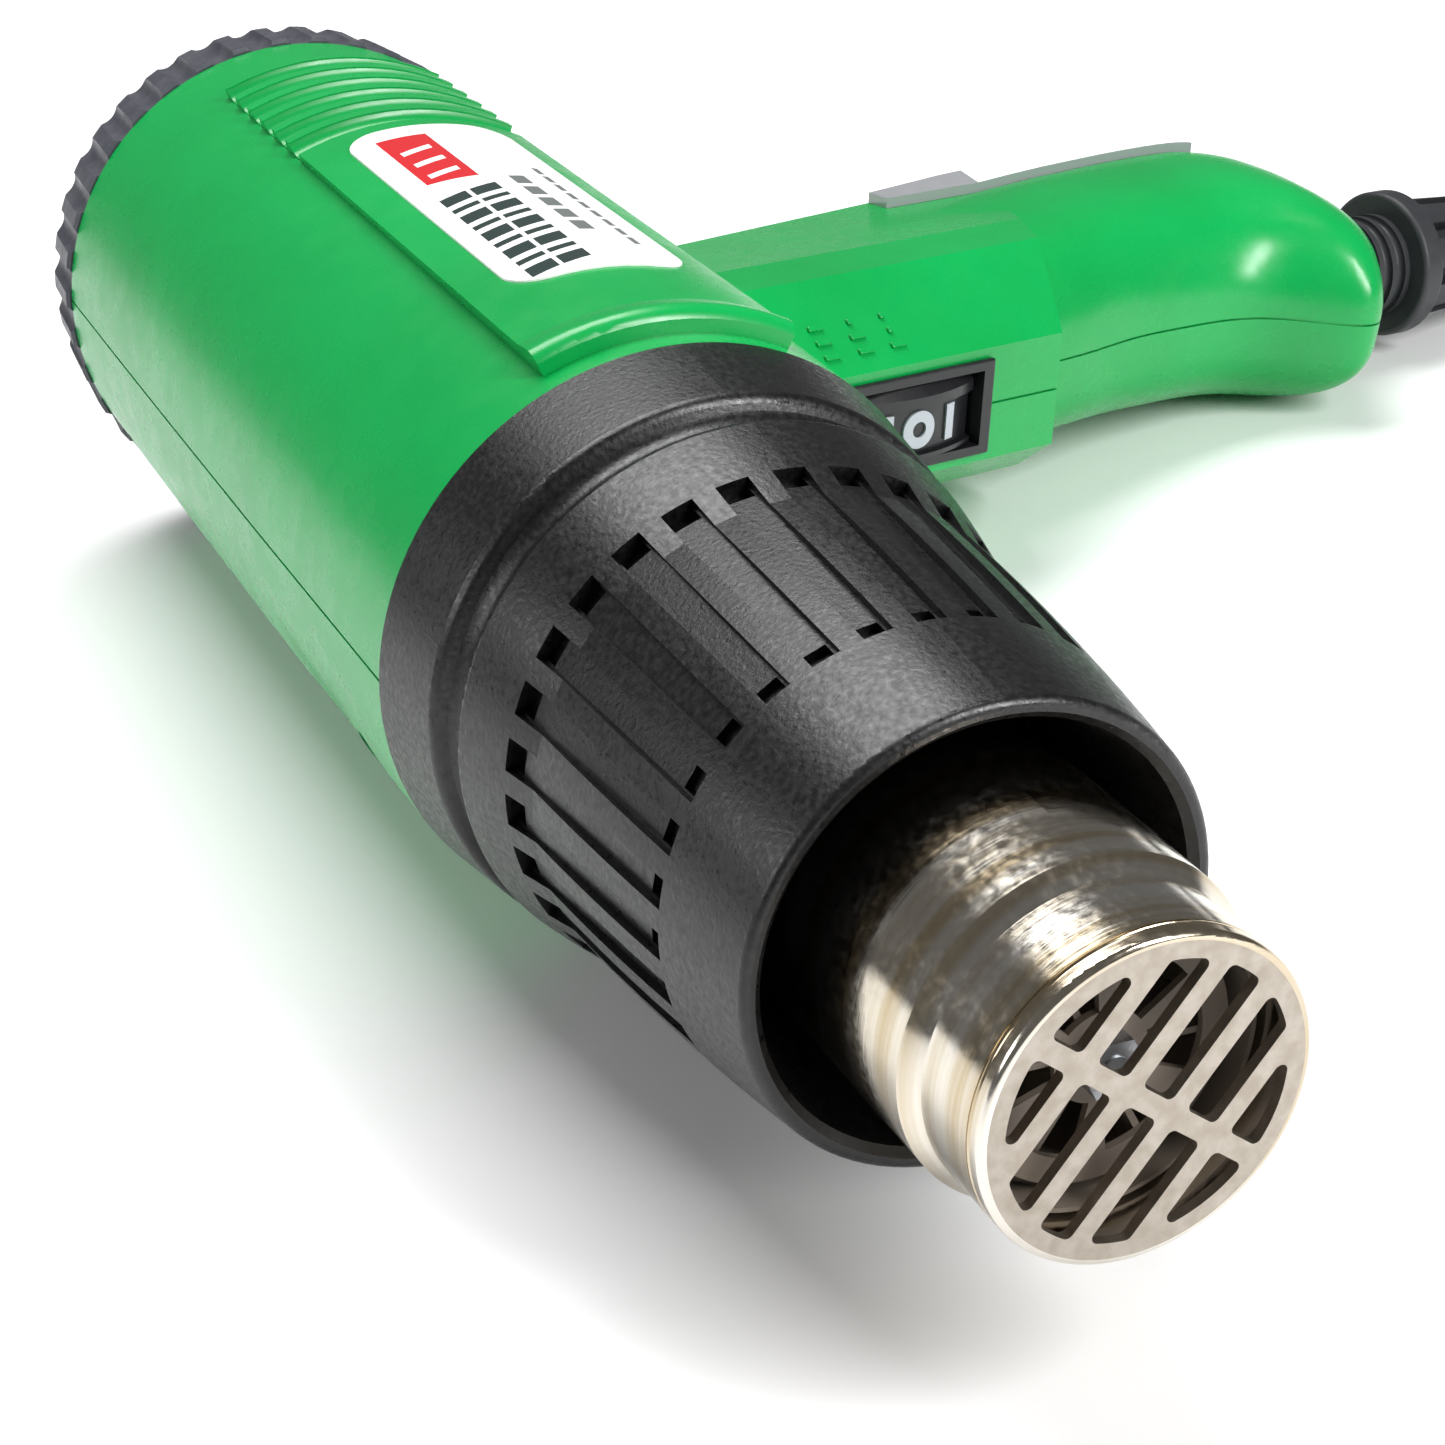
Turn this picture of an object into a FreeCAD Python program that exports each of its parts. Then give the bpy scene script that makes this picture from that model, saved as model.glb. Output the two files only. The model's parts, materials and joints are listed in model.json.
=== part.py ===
import FreeCAD, Part
import math
import os

# Heat gun, lying on its right side.  Millimetres.
#
# Every piece is first drawn in the gun's own frame and then laid down by lay():
#   +X runs along the barrel, out of the nozzle; x = 0 is the outlet face
#   +Y runs from the barrel towards the end of the handle
#   +Z is the gun's left side, and z = 0 is the joint between its two shells
# lay() rolls the gun about its barrel until the rim of the rear cap and the end of the
# handle touch z = 0.  The cord, its coil and its plug are drawn where they lie.

# ---------------------------------------------------------------- driving sizes
nozzle_radius = 17.5           # standard push-on nozzles fit a 35 mm outlet
nozzle_wall = 0.8
nozzle_step_x = -10.6          # the tube steps up behind the outlet
nozzle_step_length = 2.2
nozzle_rear_radius = 18.9
nozzle_rear_x = -86.0
lip_width = 1.7
lip_groove = 0.35

grille_thickness = 1.2
grille_bar = 2.2               # bars and cross bar of the outlet grille
grille_bars = 4
grille_field_radius = 14.9
grille_turn = -36.0            # turn of the grille about the barrel, degrees

collar_front_x = -29.9
collar_front_radius = 26.4
collar_mouth_radius = 24.0
collar_sleeve_radius = 30.7    # where the sleeve begins to flare
collar_sleeve_x = -72.5
collar_flare_radius = 33.8     # rear lip of the sleeve
collar_flare_x = -86.4
collar_groove_radius = 32.0    # narrow groove behind the sleeve
collar_groove_x = -90.2
collar_shoulder_x = -92.6
collar_shoulder_radius = 34.3
collar_rear_x = -105.5
collar_spigot = 7.0            # length pushed into the barrel
collar_wall = 2.6

slot_count = 30
slot_front_x = -44.8
slot_rear_x = -77.6
slot_width_rear = 3.9
slot_width_front = 3.3
slot_depth = 1.0
slot_pocket_depth = 2.0
slot_rear_pocket = 2.2
slot_front_pocket = 3.0

barrel_front_radius = 36.5
barrel_rear_radius = 37.4
barrel_belly = 0.25            # how far the side bows out between its ends
barrel_rear_x = -248.8
wall = 2.4
seam_width = 0.36
seam_depth = 0.45

panel_front_x = -109.0
panel_rear_x = -233.5
panel_half_angle = 25.0
panel_height = 1.4
panel_lip = 0.6
rib_count = 6
rib_pitch = 6.1
rib_groove = 4.2
rib_rise = 0.45                # how far the ribs stand above the rest of the panel

label_front_x = -127.5
label_length = 66.0
label_half_angle = 17.5
label_thickness = 0.25
label_corner = 5.0

cap_radius = 38.2
cap_taper = 0.7                # how much narrower the cap is at its rear edge
cap_length = 13.6
cap_wall = 2.6
cap_scallops = 38
cap_scallop_radius = 2.3
cap_scallop_depth = 1.2
cap_slots = 20
cap_slot_width = 3.4

# side outline of the grip: distance along the handle, front, back, half thickness
grip_stations = [
    (66.0, -172.0, -209.0, 15.6),
    (84.0, -173.6, -215.8, 16.6),
    (98.4, -176.6, -221.0, 17.6),
    (117.7, -182.6, -226.4, 18.2),
    (134.0, -184.4, -231.0, 18.4),
    (143.4, -181.4, -232.6, 18.5),
    (149.6, -175.8, -231.0, 17.9),
    (154.2, -175.2, -226.0, 16.2),
    (159.6, -180.6, -218.4, 13.0),
    (163.8, -187.0, -210.6, 9.6),
]
grip_sections = 16
handle_fullness = 0.17         # how far the widest part of the grip bulges past its stations
box_near_y = 22.0              # switch box, from inside the barrel to its end wall
box_far_y = 89.5
box_face_x = -165.5            # its front face at the end wall
box_rake = 0.186               # slope of the front face
box_end_rake = 0.25            # slope of its end wall
box_back_x = -217.6            # its back at the end wall
box_back_rake = 0.30
box_face_half = 8.7
box_crease_depth = 14.5        # from front face to the widest crease
box_crease_half = 18.3
box_top_length = 9.0
box_back_half = 14.6

pad_near_y = 83.0
pad_far_y = 147.0
pad_height = 1.5
pad_near_depth = 6.0           # how far it wraps round the sides from the back, at its two ends
pad_far_depth = 11.0

bezel_half_width = 7.3
bezel_far_y = 76.6
bezel_length = 27.6
bezel_stand = 1.0
bezel_lap = 1.4                # how much wider the bezel is than its opening
rocker_half_width = 5.4
rocker_length = 22.8
rocker_clearance = 0.35
rocker_radius = 26.0           # of its bowed face
rocker_stand = 1.9
rocker_trough = 1.0            # depth of the trough that holds the marks
trough_low, trough_high = -4.7, 2.5
rocker_flank = 1.35            # width and fall of its sloping upper edge
mark_height = 0.35
rocker_pin_radius = 1.2
running_clearance = 0.04

boot_exit = (-200.4, 164.0)
boot_lean = 8.0                # degrees the boot leans back from the handle's direction
boot_neck_radius = 8.6
boot_neck_length = 10.0
boot_ring_radius = 12.2
boot_ring_width = 4.4
boot_body_radius = 10.3
boot_body_length = 20.0
boot_tail_length = 17.0
boot_tail_radius = 5.0
boot_tail_round = 1.0

cord_radius = 3.5
coil_centre = (-96.5, 219.0)
coil_mean_radius = 42.0
coil_turns_wide = 3
coil_layers = 2
plug_length = 34.0
plug_height = 6.6              # its centre line, lying on its side

motor_radius = 17.6
motor_front_x = -203.0
motor_rear_x = -238.0
shaft_radius = 1.6
fan_radius = 30.5
fan_rear_x = -199.5
fan_width = 17.0
fan_blades = 14
fan_clearance = 2.0

guide_rear_x = -204.0
guide_throat_x = -150.0
guide_front_x = -97.2
guide_wall = 1.4
guide_throat_radius = 23.4

base_x = -90.0                 # front of the heater's base plate
base_thickness = 4.0
base_radius = 27.4
base_screw_circle = 22.4
element_front_x = -9.0
blade_half = 12.6
blade_thickness = 0.7
wire_radius = 0.45
wire_turns = 15

screw_radius = 1.6
screw_head_radius = 3.0
screw_head = 2.2
boss_radius = 5.0
contact = 0.3                  # gap between a moving piece and its neighbour

barrel_screws = [(-122.0, -30.1), (-122.0, 30.1), (-233.0, -30.1), (-233.0, 30.1)]
handle_screws = [(-211.5, 84.0), (-214.0, 143.0)]
clamp_y = 127.0
clamp_back, clamp_front = 8.4, 6.9    # reach either side of the cord
clamp_pitch = 5.0              # half the distance between its two screws
clamp_screw = 1.25
screw_depth = 8.0              # head seat below the joint

# ---------------------------------------------------------------- small tools
V = FreeCAD.Vector
X_AXIS = V(1, 0, 0)
Z_AXIS = V(0, 0, 1)
ORIGIN = V(0, 0, 0)
FAR = 400.0

saved = []


def unit(vector):
    copy = V(vector)
    copy.normalize()
    return copy


def outline(steps):
    """A closed wire: points are joined by lines, and ("arc", middle, end) adds an arc."""
    edges = []
    start = V(*steps[0])
    here = start
    for step in steps[1:]:
        if step[0] == "arc":
            end = V(*step[2])
            edges.append(Part.Arc(here, V(*step[1]), end).toShape())
        else:
            end = V(*step)
            edges.append(Part.makeLine(here, end))
        here = end
    if here.distanceToPoint(start) > 1e-7:
        edges.append(Part.makeLine(here, start))
    return Part.Wire(edges)


def turned(profile, start=0.0, sweep=360.0):
    """A solid of revolution about the barrel from (x, radius) steps."""
    steps = []
    for step in profile:
        if step[0] == "arc":
            steps.append(("arc", (step[1][0], 0, step[1][1]), (step[2][0], 0, step[2][1])))
        else:
            steps.append((step[0], 0, step[1]))
    face = Part.Face(outline(steps))
    face.rotate(ORIGIN, X_AXIS, start)
    return face.revolve(ORIGIN, X_AXIS, sweep)


def ring(x0, x1, outer, inner):
    return turned([(x0, inner), (x1, inner), (x1, outer), (x0, outer)])


def rod(start, end, radius):
    a, b = V(*start), V(*end)
    return Part.makeCylinder(radius, a.distanceToPoint(b), a, b - a)


def block(x0, x1, y0, y1, z0, z1):
    return Part.makeBox(x1 - x0, y1 - y0, z1 - z0, V(x0, y0, z0))


def spun(shape, degrees, axis=X_AXIS, centre=ORIGIN):
    copy = shape.copy()
    copy.rotate(centre, axis, degrees)
    return copy


def fused(shapes):
    return shapes[0].fuse(shapes[1:])


def smooth_loop(points):
    """A closed smooth curve through points in one plane."""
    curve = Part.BSplineCurve()
    curve.interpolate(Points=[V(*p) for p in points], PeriodicFlag=True)
    return Part.Wire(curve.toShape())


def bent_line(points, share=0.45):
    """Straight runs joined by tangent arcs, with the arcs' radii."""
    pts = [V(*p) for p in points]
    edges = []
    radii = []
    here = pts[0]
    for before, corner, after in zip(pts, pts[1:], pts[2:]):
        back, ahead = unit(before - corner), unit(after - corner)
        turn = math.pi - back.getAngle(ahead)
        cut = share * min(before.distanceToPoint(corner), after.distanceToPoint(corner))
        radius = cut / math.tan(turn / 2)
        radii.append(radius)
        start, end = corner + back * cut, corner + ahead * cut
        middle = corner + unit(back + ahead) * (radius / math.cos(turn / 2) - radius)
        edges.append(Part.makeLine(here, start))
        edges.append(Part.Arc(start, middle, end).toShape())
        here = end
    edges.append(Part.makeLine(here, pts[-1]))
    return Part.Wire(edges), radii


def wire_along(points, radius):
    """A round wire or cord along bent_line."""
    path, radii = bent_line(points)
    direction = V(*points[1]) - V(*points[0])
    end = Part.Wire(Part.makeCircle(radius, V(*points[0]), direction))
    return path.makePipeShell([end], True, False), path, radii


# ---------------------------------------------------------------- how it lies
handle_contact_y, handle_contact_half = grip_stations[5][0], grip_stations[5][3]
lie_angle = math.degrees(math.asin((cap_radius - handle_contact_half - handle_fullness) / handle_contact_y))
lean = math.radians(boot_lean)
boot_direction = V(-math.sin(lean), math.cos(lean), 0)
boot_end = boot_neck_length + boot_ring_width + boot_body_length + boot_tail_length
boot_pitch = math.cos(lean) * math.cos(math.radians(lie_angle))
boot_tip_y = boot_exit[1] * math.cos(math.radians(lie_angle)) + boot_end * boot_pitch \
    + (boot_tail_radius - boot_tail_round) * math.sqrt(1 - boot_pitch ** 2)
gun_length = cap_length - barrel_rear_x
middle_shift = V(gun_length / 2, (cap_radius - boot_tip_y) / 2, cap_radius)
print("lies at %.6f degrees, moved by %.6f %.6f %.6f" % ((lie_angle,) + tuple(middle_shift)))


def lay(shape):
    """From the gun's frame to where it lies, with its footprint's middle at the origin."""
    copy = shape.copy()
    copy.rotate(ORIGIN, X_AXIS, -lie_angle)
    copy.translate(middle_shift)
    return copy


def lay_point(point):
    place = FreeCAD.Placement(middle_shift, FreeCAD.Rotation(X_AXIS, -lie_angle))
    return place.multVec(V(*point))


def save(name, shape, lies=True):
    os.makedirs("parts", exist_ok=True)
    solid = lay(shape) if lies else shape
    solids = solid.Solids
    if not solid.isValid() or not solids or min(s.Volume for s in solids) <= 0:
        raise ValueError(name + " is not a sound solid")
    out = solids[0] if len(solids) == 1 else Part.makeCompound(solids)
    out.exportStep("parts/" + name + ".step")
    saved.append(name)
    print("%-24s %2d solid(s) %10.1f mm3" % (name, len(solids), sum(s.Volume for s in solids)))


# ---------------------------------------------------------------- housing forms
def barrel_form(inset):
    """The barrel's outer form, shrunk by inset; inset forms run past its ends."""
    over = 1.0 if inset > seam_depth else 0.0
    middle_x = (collar_rear_x + barrel_rear_x) / 2
    middle = (barrel_front_radius + barrel_rear_radius) / 2 + barrel_belly
    return turned([
        (collar_rear_x + over, 0), (collar_rear_x + over, barrel_front_radius - inset),
        ("arc", (middle_x, middle - inset), (barrel_rear_x - over, barrel_rear_radius - inset)),
        (barrel_rear_x - over, 0)])


def box_section(y, inset):
    """Faceted section of the switch box at one distance along the handle."""
    front = box_face_x + box_rake * (box_far_y - y) - inset
    back = box_back_x + box_back_rake * (box_far_y - y) + inset
    crease = front - box_crease_depth
    half = [(front, box_face_half - inset * 0.4), (crease, box_crease_half - inset),
            (crease - box_top_length, box_crease_half - inset), (back, box_back_half - inset)]
    points = [(x, y, z) for x, z in half] + [(x, y, -z) for x, z in reversed(half)]
    return outline(points)


def box_form(inset):
    back = box_face_x - box_back_x
    far = box_far_y + box_end_rake * back + 6.0
    whole = Part.makeLoft([box_section(box_near_y, inset), box_section(far, inset)], True, True)
    end = box_far_y - (inset if inset > seam_depth else 0.0)
    beyond = Part.Face(outline([
        (box_face_x + back, end - box_end_rake * back, -FAR / 8), (box_face_x + back, FAR, -FAR / 8),
        (box_back_x - back, FAR, -FAR / 8), (box_back_x - back, end + box_end_rake * 2 * back, -FAR / 8)]))
    return whole.cut(beyond.extrude(V(0, 0, FAR / 4)))


def steady(y, column):
    """Value of one column of grip_stations at y: a smooth curve with no overshoot."""
    rows = grip_stations
    slopes = [(b[column] - a[column]) / (b[0] - a[0]) for a, b in zip(rows, rows[1:])]
    tangents = [slopes[0]]
    for left, right in zip(slopes, slopes[1:]):
        tangents.append(0.0 if left * right <= 0 else 2 * left * right / (left + right))
    tangents.append(slopes[-1])
    index = max(i for i, row in enumerate(rows[:-1]) if y >= row[0] or i == 0)
    low, high = rows[index], rows[index + 1]
    span = high[0] - low[0]
    t = (y - low[0]) / span
    return ((2 * t ** 3 - 3 * t ** 2 + 1) * low[column] + (t ** 3 - 2 * t ** 2 + t) * span * tangents[index]
            + (3 * t ** 2 - 2 * t ** 3) * high[column] + (t ** 3 - t ** 2) * span * tangents[index + 1])


def grip_section(y, at, inset):
    """Rounded section of the grip at y: a squarish oval with the sizes that it has at another place."""
    front, back, half = (steady(at, column) for column in (1, 2, 3))
    centre = (front + back) / 2
    reach = (front - back) / 2 - inset
    side = half - inset
    points = []
    for step in range(16):
        angle = 2 * math.pi * step / 16
        c, s = math.cos(angle), math.sin(angle)
        squarish = (abs(c) ** 2.5 + abs(s) ** 2.5) ** (-1 / 2.5)
        points.append((centre + reach * c * squarish, y, side * s * squarish))
    return smooth_loop(points)


def grip_form(inset):
    near, far = grip_stations[0][0], grip_stations[-1][0]
    sections = []
    for step in range(grip_sections + 1):
        share = step / grip_sections
        at = near + (far - near) * share
        sections.append(grip_section(at - inset * share, at, inset))
    return Part.makeLoft(sections, True, False)


def housing_form(inset):
    return fused([barrel_form(inset), box_form(inset), grip_form(inset)])


# ---------------------------------------------------------------- switch frame
# The switch sits in the raked front face of its box.
face_normal = unit(V(1, box_rake, 0))
face_angle = math.degrees(math.atan(box_rake))


def on_face(along_y, stand, across):
    """Point on the switch box's front face: y along the handle, height above it, z."""
    base = V(box_face_x + box_rake * (box_far_y - along_y), along_y, across)
    return base + face_normal * stand


bezel_centre_y = bezel_far_y - bezel_length / 2


def switch_block(length, width, low, high, shift=0.0):
    """A block square to the switch face, centred on the switch."""
    solid = Part.makeBox(high - low, length, width, V(low, shift - length / 2, -width / 2))
    solid.rotate(ORIGIN, Z_AXIS, face_angle)
    solid.translate(on_face(bezel_centre_y, 0, 0))
    return solid


# ---------------------------------------------------------------- housing
def make_housing():
    outer = housing_form(0.0)
    inner = housing_form(wall)
    panel = make_panel()
    shell = outer.fuse(panel).cut(inner)
    seam_band = block(-FAR, FAR, -FAR, FAR, -seam_width / 2, seam_width / 2)
    seam = outer.cut(housing_form(seam_depth)).common(seam_band)
    opening = switch_block(bezel_length - 2.4, 2 * bezel_half_width - bezel_lap, -20, 5)
    mouth = boot_shape(boot_neck_radius, -12.0, 12.0)
    bosses = []
    for x, y in barrel_screws + handle_screws:
        bosses.append(rod((x, y, -FAR / 8), (x, y, FAR / 8), boss_radius).common(inner))
    bores = [rod((x, y, -FAR / 8), (x, y, 12.0), screw_radius) for x, y in barrel_screws + handle_screws]
    heads = [rod((x, y, -FAR / 8), (x, y, -screw_depth), screw_head_radius + 0.4)
             for x, y in barrel_screws + handle_screws]
    shell = shell.fuse(bosses).cut([seam, opening, mouth] + bores + heads)
    upper = block(-FAR, FAR, -FAR, FAR, 0, FAR)
    lower = block(-FAR, FAR, -FAR, FAR, -FAR, 0)
    save("left_housing", biggest(shell.common(upper)))
    save("right_housing", biggest(shell.common(lower)))
    return inner


def biggest(shape):
    return max(shape.Solids, key=lambda s: s.Volume)


def make_panel():
    """Raised pad on the left side: a lip at its front, ribs at its rear."""
    low = barrel_front_radius - wall / 2
    top = barrel_rear_radius + panel_height
    front_top = top + panel_lip
    ribs_end = panel_rear_x + 1.6 + rib_groove + (rib_count - 1) * rib_pitch
    profile = [
        (panel_rear_x, low), (panel_front_x, low), (panel_front_x, front_top - 1.2),
        ("arc", (panel_front_x - 0.8, front_top - 0.3), (panel_front_x - 2.4, front_top)),
        ("arc", (panel_front_x - 4.2, front_top - 0.25), (panel_front_x - 5.6, top)),
        (ribs_end, top), (ribs_end - 1.2, top + rib_rise),
        (panel_rear_x + 1.0, top + rib_rise), (panel_rear_x, top - 0.6)]
    pad = turned(profile, -panel_half_angle, 2 * panel_half_angle)
    grooves = []
    for index in range(rib_count):
        x = panel_rear_x + 1.6 + rib_groove / 2 + index * rib_pitch
        grooves.append(turned([
            (x - rib_groove / 2, top + 1), (x - rib_groove / 2, top + 0.2),
            ("arc", (x, top - panel_height + 0.1), (x + rib_groove / 2, top + 0.2)),
            (x + rib_groove / 2, top + 1)]))
    return pad.cut(grooves)


def make_label():
    radius = barrel_rear_radius + panel_height
    sheet = turned([(label_front_x - label_length, radius), (label_front_x, radius),
                    (label_front_x, radius + label_thickness),
                    (label_front_x - label_length, radius + label_thickness)],
                   -label_half_angle, 2 * label_half_angle)
    half = radius * math.sin(math.radians(label_half_angle))
    rounded = Part.makeBox(label_length, 2 * half, 60, V(label_front_x - label_length, -half, 0))
    upright = [e for e in rounded.Edges if abs(e.tangentAt(e.FirstParameter).z) > 0.99]
    save("label", sheet.common(rounded.makeFillet(label_corner, upright)))


def make_backstrap():
    proud = grip_form(-pad_height).fuse(box_form(-pad_height))
    region = []
    for y, back, depth in ((pad_near_y, box_back_x + box_back_rake * (box_far_y - pad_near_y) - 0.1, pad_near_depth),
                           (pad_far_y, back_of_grip(pad_far_y) - 9.0, pad_far_depth + 9.0)):
        region.append(outline([(back, y, -FAR / 8), (back + depth, y, -FAR / 8),
                               (back + depth, y, FAR / 8), (back, y, FAR / 8)]))
    band = Part.makeLoft(region, True, True)
    save("backstrap_pad", biggest(proud.common(band).cut([grip_form(0.0), box_form(0.0)])))


def back_of_grip(y):
    for low, high in zip(grip_stations, grip_stations[1:]):
        if low[0] <= y <= high[0]:
            share = (y - low[0]) / (high[0] - low[0])
            return low[2] + share * (high[2] - low[2])
    return grip_stations[-1][2]


# ---------------------------------------------------------------- rear cap
def make_rear_cap():
    front = barrel_rear_x
    rear = front - cap_length
    spigot = barrel_rear_radius - wall - 0.1
    body = turned([
        (front, spigot - cap_wall), (front + 8, spigot - cap_wall), (front + 8, spigot), (front, spigot),
        (front, cap_radius - 0.5), (front - 0.5, cap_radius), (rear + 3.0, cap_radius - cap_taper),
        ("arc", (rear + 0.9, cap_radius - cap_taper - 0.9), (rear, cap_radius - cap_taper - 3.0)),
        (rear, 0), (rear + cap_wall, 0), (rear + cap_wall, cap_radius - 2 * cap_wall), (front, cap_radius - 2 * cap_wall)])
    notch_centre = cap_radius + cap_scallop_radius - cap_scallop_depth
    notch = rod((front + 1, 0, notch_centre), (rear - 1, 0, notch_centre - cap_taper - 0.2), cap_scallop_radius)
    tools = [spun(notch, 360.0 * i / cap_scallops) for i in range(cap_scallops)]
    slot = fused([block(rear - 1, rear + cap_wall + 1, -cap_slot_width / 2, cap_slot_width / 2, 14, 31),
                  rod((rear - 1, 0, 14), (rear + cap_wall + 1, 0, 14), cap_slot_width / 2),
                  rod((rear - 1, 0, 31), (rear + cap_wall + 1, 0, 31), cap_slot_width / 2)])
    tools += [spun(slot, 360.0 * i / cap_slots) for i in range(cap_slots)]
    dish = turned([(rear - 1, 0), (rear - 1, 9), (rear + 0.8, 9), (rear + 0.8, 0)])
    save("rear_intake_cap", body.cut(tools + [dish]))


# ---------------------------------------------------------------- nose collar
def make_collar():
    spigot = barrel_front_radius - wall - 0.1
    sleeve_mid_x = (collar_front_x + collar_sleeve_x) / 2
    sleeve_mid = (collar_front_radius + collar_sleeve_radius) / 2 + 0.5
    flare_mid_x = (collar_sleeve_x + collar_flare_x) / 2
    flare_mid = (collar_sleeve_radius + collar_flare_radius) / 2 + 0.1
    body = turned([
        (collar_front_x - 0.9, collar_mouth_radius), (collar_front_x, collar_mouth_radius + 0.9),
        (collar_front_x, collar_front_radius - 1.0),
        ("arc", (collar_front_x - 0.3, collar_front_radius - 0.3), (collar_front_x - 1.0, collar_front_radius)),
        ("arc", (sleeve_mid_x, sleeve_mid), (collar_sleeve_x, collar_sleeve_radius)),
        ("arc", (flare_mid_x, flare_mid), (collar_flare_x, collar_flare_radius)),
        ("arc", (collar_flare_x - 0.7, collar_flare_radius - 0.1), (collar_flare_x - 1.2, collar_flare_radius - 0.6)),
        ("arc", (collar_groove_x, collar_groove_radius), (collar_shoulder_x + 0.5, collar_shoulder_radius - 1.3)),
        (collar_shoulder_x + 0.2, collar_shoulder_radius - 0.5),
        ("arc", (collar_shoulder_x - 0.2, collar_shoulder_radius + 0.1),
         (collar_shoulder_x - 1.0, collar_shoulder_radius + 0.5)),
        (collar_rear_x, barrel_front_radius), (collar_rear_x, spigot), (collar_rear_x - collar_spigot, spigot),
        (collar_rear_x - collar_spigot, spigot - collar_wall), (collar_shoulder_x - 2, spigot - collar_wall),
        (collar_sleeve_x, collar_sleeve_radius - collar_wall), (-52.0, 26.0),
        (-52.0, nozzle_rear_radius + 1.4), (-49.0, nozzle_rear_radius + 1.4)])
    slope = math.degrees(math.atan2(collar_sleeve_radius - collar_front_radius, collar_front_x - collar_sleeve_x))
    middle_x = (slot_front_x + slot_rear_x) / 2
    share = (middle_x - collar_front_x) / (collar_sleeve_x - collar_front_x)
    surface = collar_front_radius + share * (collar_sleeve_radius - collar_front_radius) + 0.5
    half = (slot_front_x - slot_rear_x) / 2
    rear_half, front_half = slot_width_rear / 2, slot_width_front / 2
    plan = outline([(-half, -rear_half, -slot_depth), (half, -front_half, -slot_depth),
                    (half, front_half, -slot_depth), (-half, rear_half, -slot_depth)])
    recess = Part.Face(plan).extrude(V(0, 0, 6))
    rear_pocket = block(-half, -half + slot_rear_pocket, -rear_half + 0.3, rear_half - 0.3, -slot_pocket_depth, 2)
    front_pocket = block(half - slot_front_pocket, half - 0.4, -front_half + 0.35, front_half - 0.35,
                         -slot_pocket_depth, 2)
    cutter = fused([recess, rear_pocket, front_pocket])
    cutter.rotate(ORIGIN, V(0, 1, 0), slope)
    cutter.translate(V(middle_x, 0, surface))
    save("nose_collar", body.cut([spun(cutter, 360.0 * i / slot_count) for i in range(slot_count)]))


# ---------------------------------------------------------------- nozzle and grille
def make_nozzle():
    r, t, rr = nozzle_radius, nozzle_wall, nozzle_rear_radius
    back = nozzle_step_x - nozzle_step_length
    tube = turned([
        (0, r - 0.7), ("arc", (-0.2, r - 0.2), (-0.7, r)), (-lip_width, r),
        ("arc", (-lip_width - 0.35, r - lip_groove), (-lip_width - 0.7, r)),
        (nozzle_step_x, r), (back, rr), (nozzle_rear_x + 1.2, rr), (nozzle_rear_x + 1.2, base_radius - 2.4),
        (nozzle_rear_x, base_radius - 2.4), (nozzle_rear_x, rr - t), (back, rr - t), (nozzle_step_x, r - t),
        (0, r - t)])
    holes = [spun(hole, 120 * i) for i in range(3) for hole in [base_screw_hole()]]
    save("nozzle_tube", tube.cut(holes))
    reach = r - t
    plate = ring(-grille_thickness, 0, reach, 0)
    field = rod((-grille_thickness - 1, 0, 0), (1, 0, 0), grille_field_radius)
    pitch = (2 * grille_field_radius + grille_bar) / (grille_bars + 1)
    cut_outs = []
    for index in range(grille_bars + 1):
        left = -grille_field_radius - grille_bar / 2 + index * pitch + grille_bar / 2
        for side in (-1, 1):
            low, high = sorted((side * grille_bar / 2, side * FAR / 8))
            window = block(-grille_thickness - 0.5, 0.5, left, left + pitch - grille_bar, low, high)
            cut_outs.append(round_window(window.common(field)))
    plate = plate.cut(cut_outs)
    save("outlet_grille", spun(plate, grille_turn))


def round_window(solid):
    along = [e for e in solid.Edges if abs(abs(e.Length) - (grille_thickness + 1.0)) < 1e-6
             and abs(e.tangentAt(e.FirstParameter).x) > 0.99]
    return solid.makeFillet(0.75, along)


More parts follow.
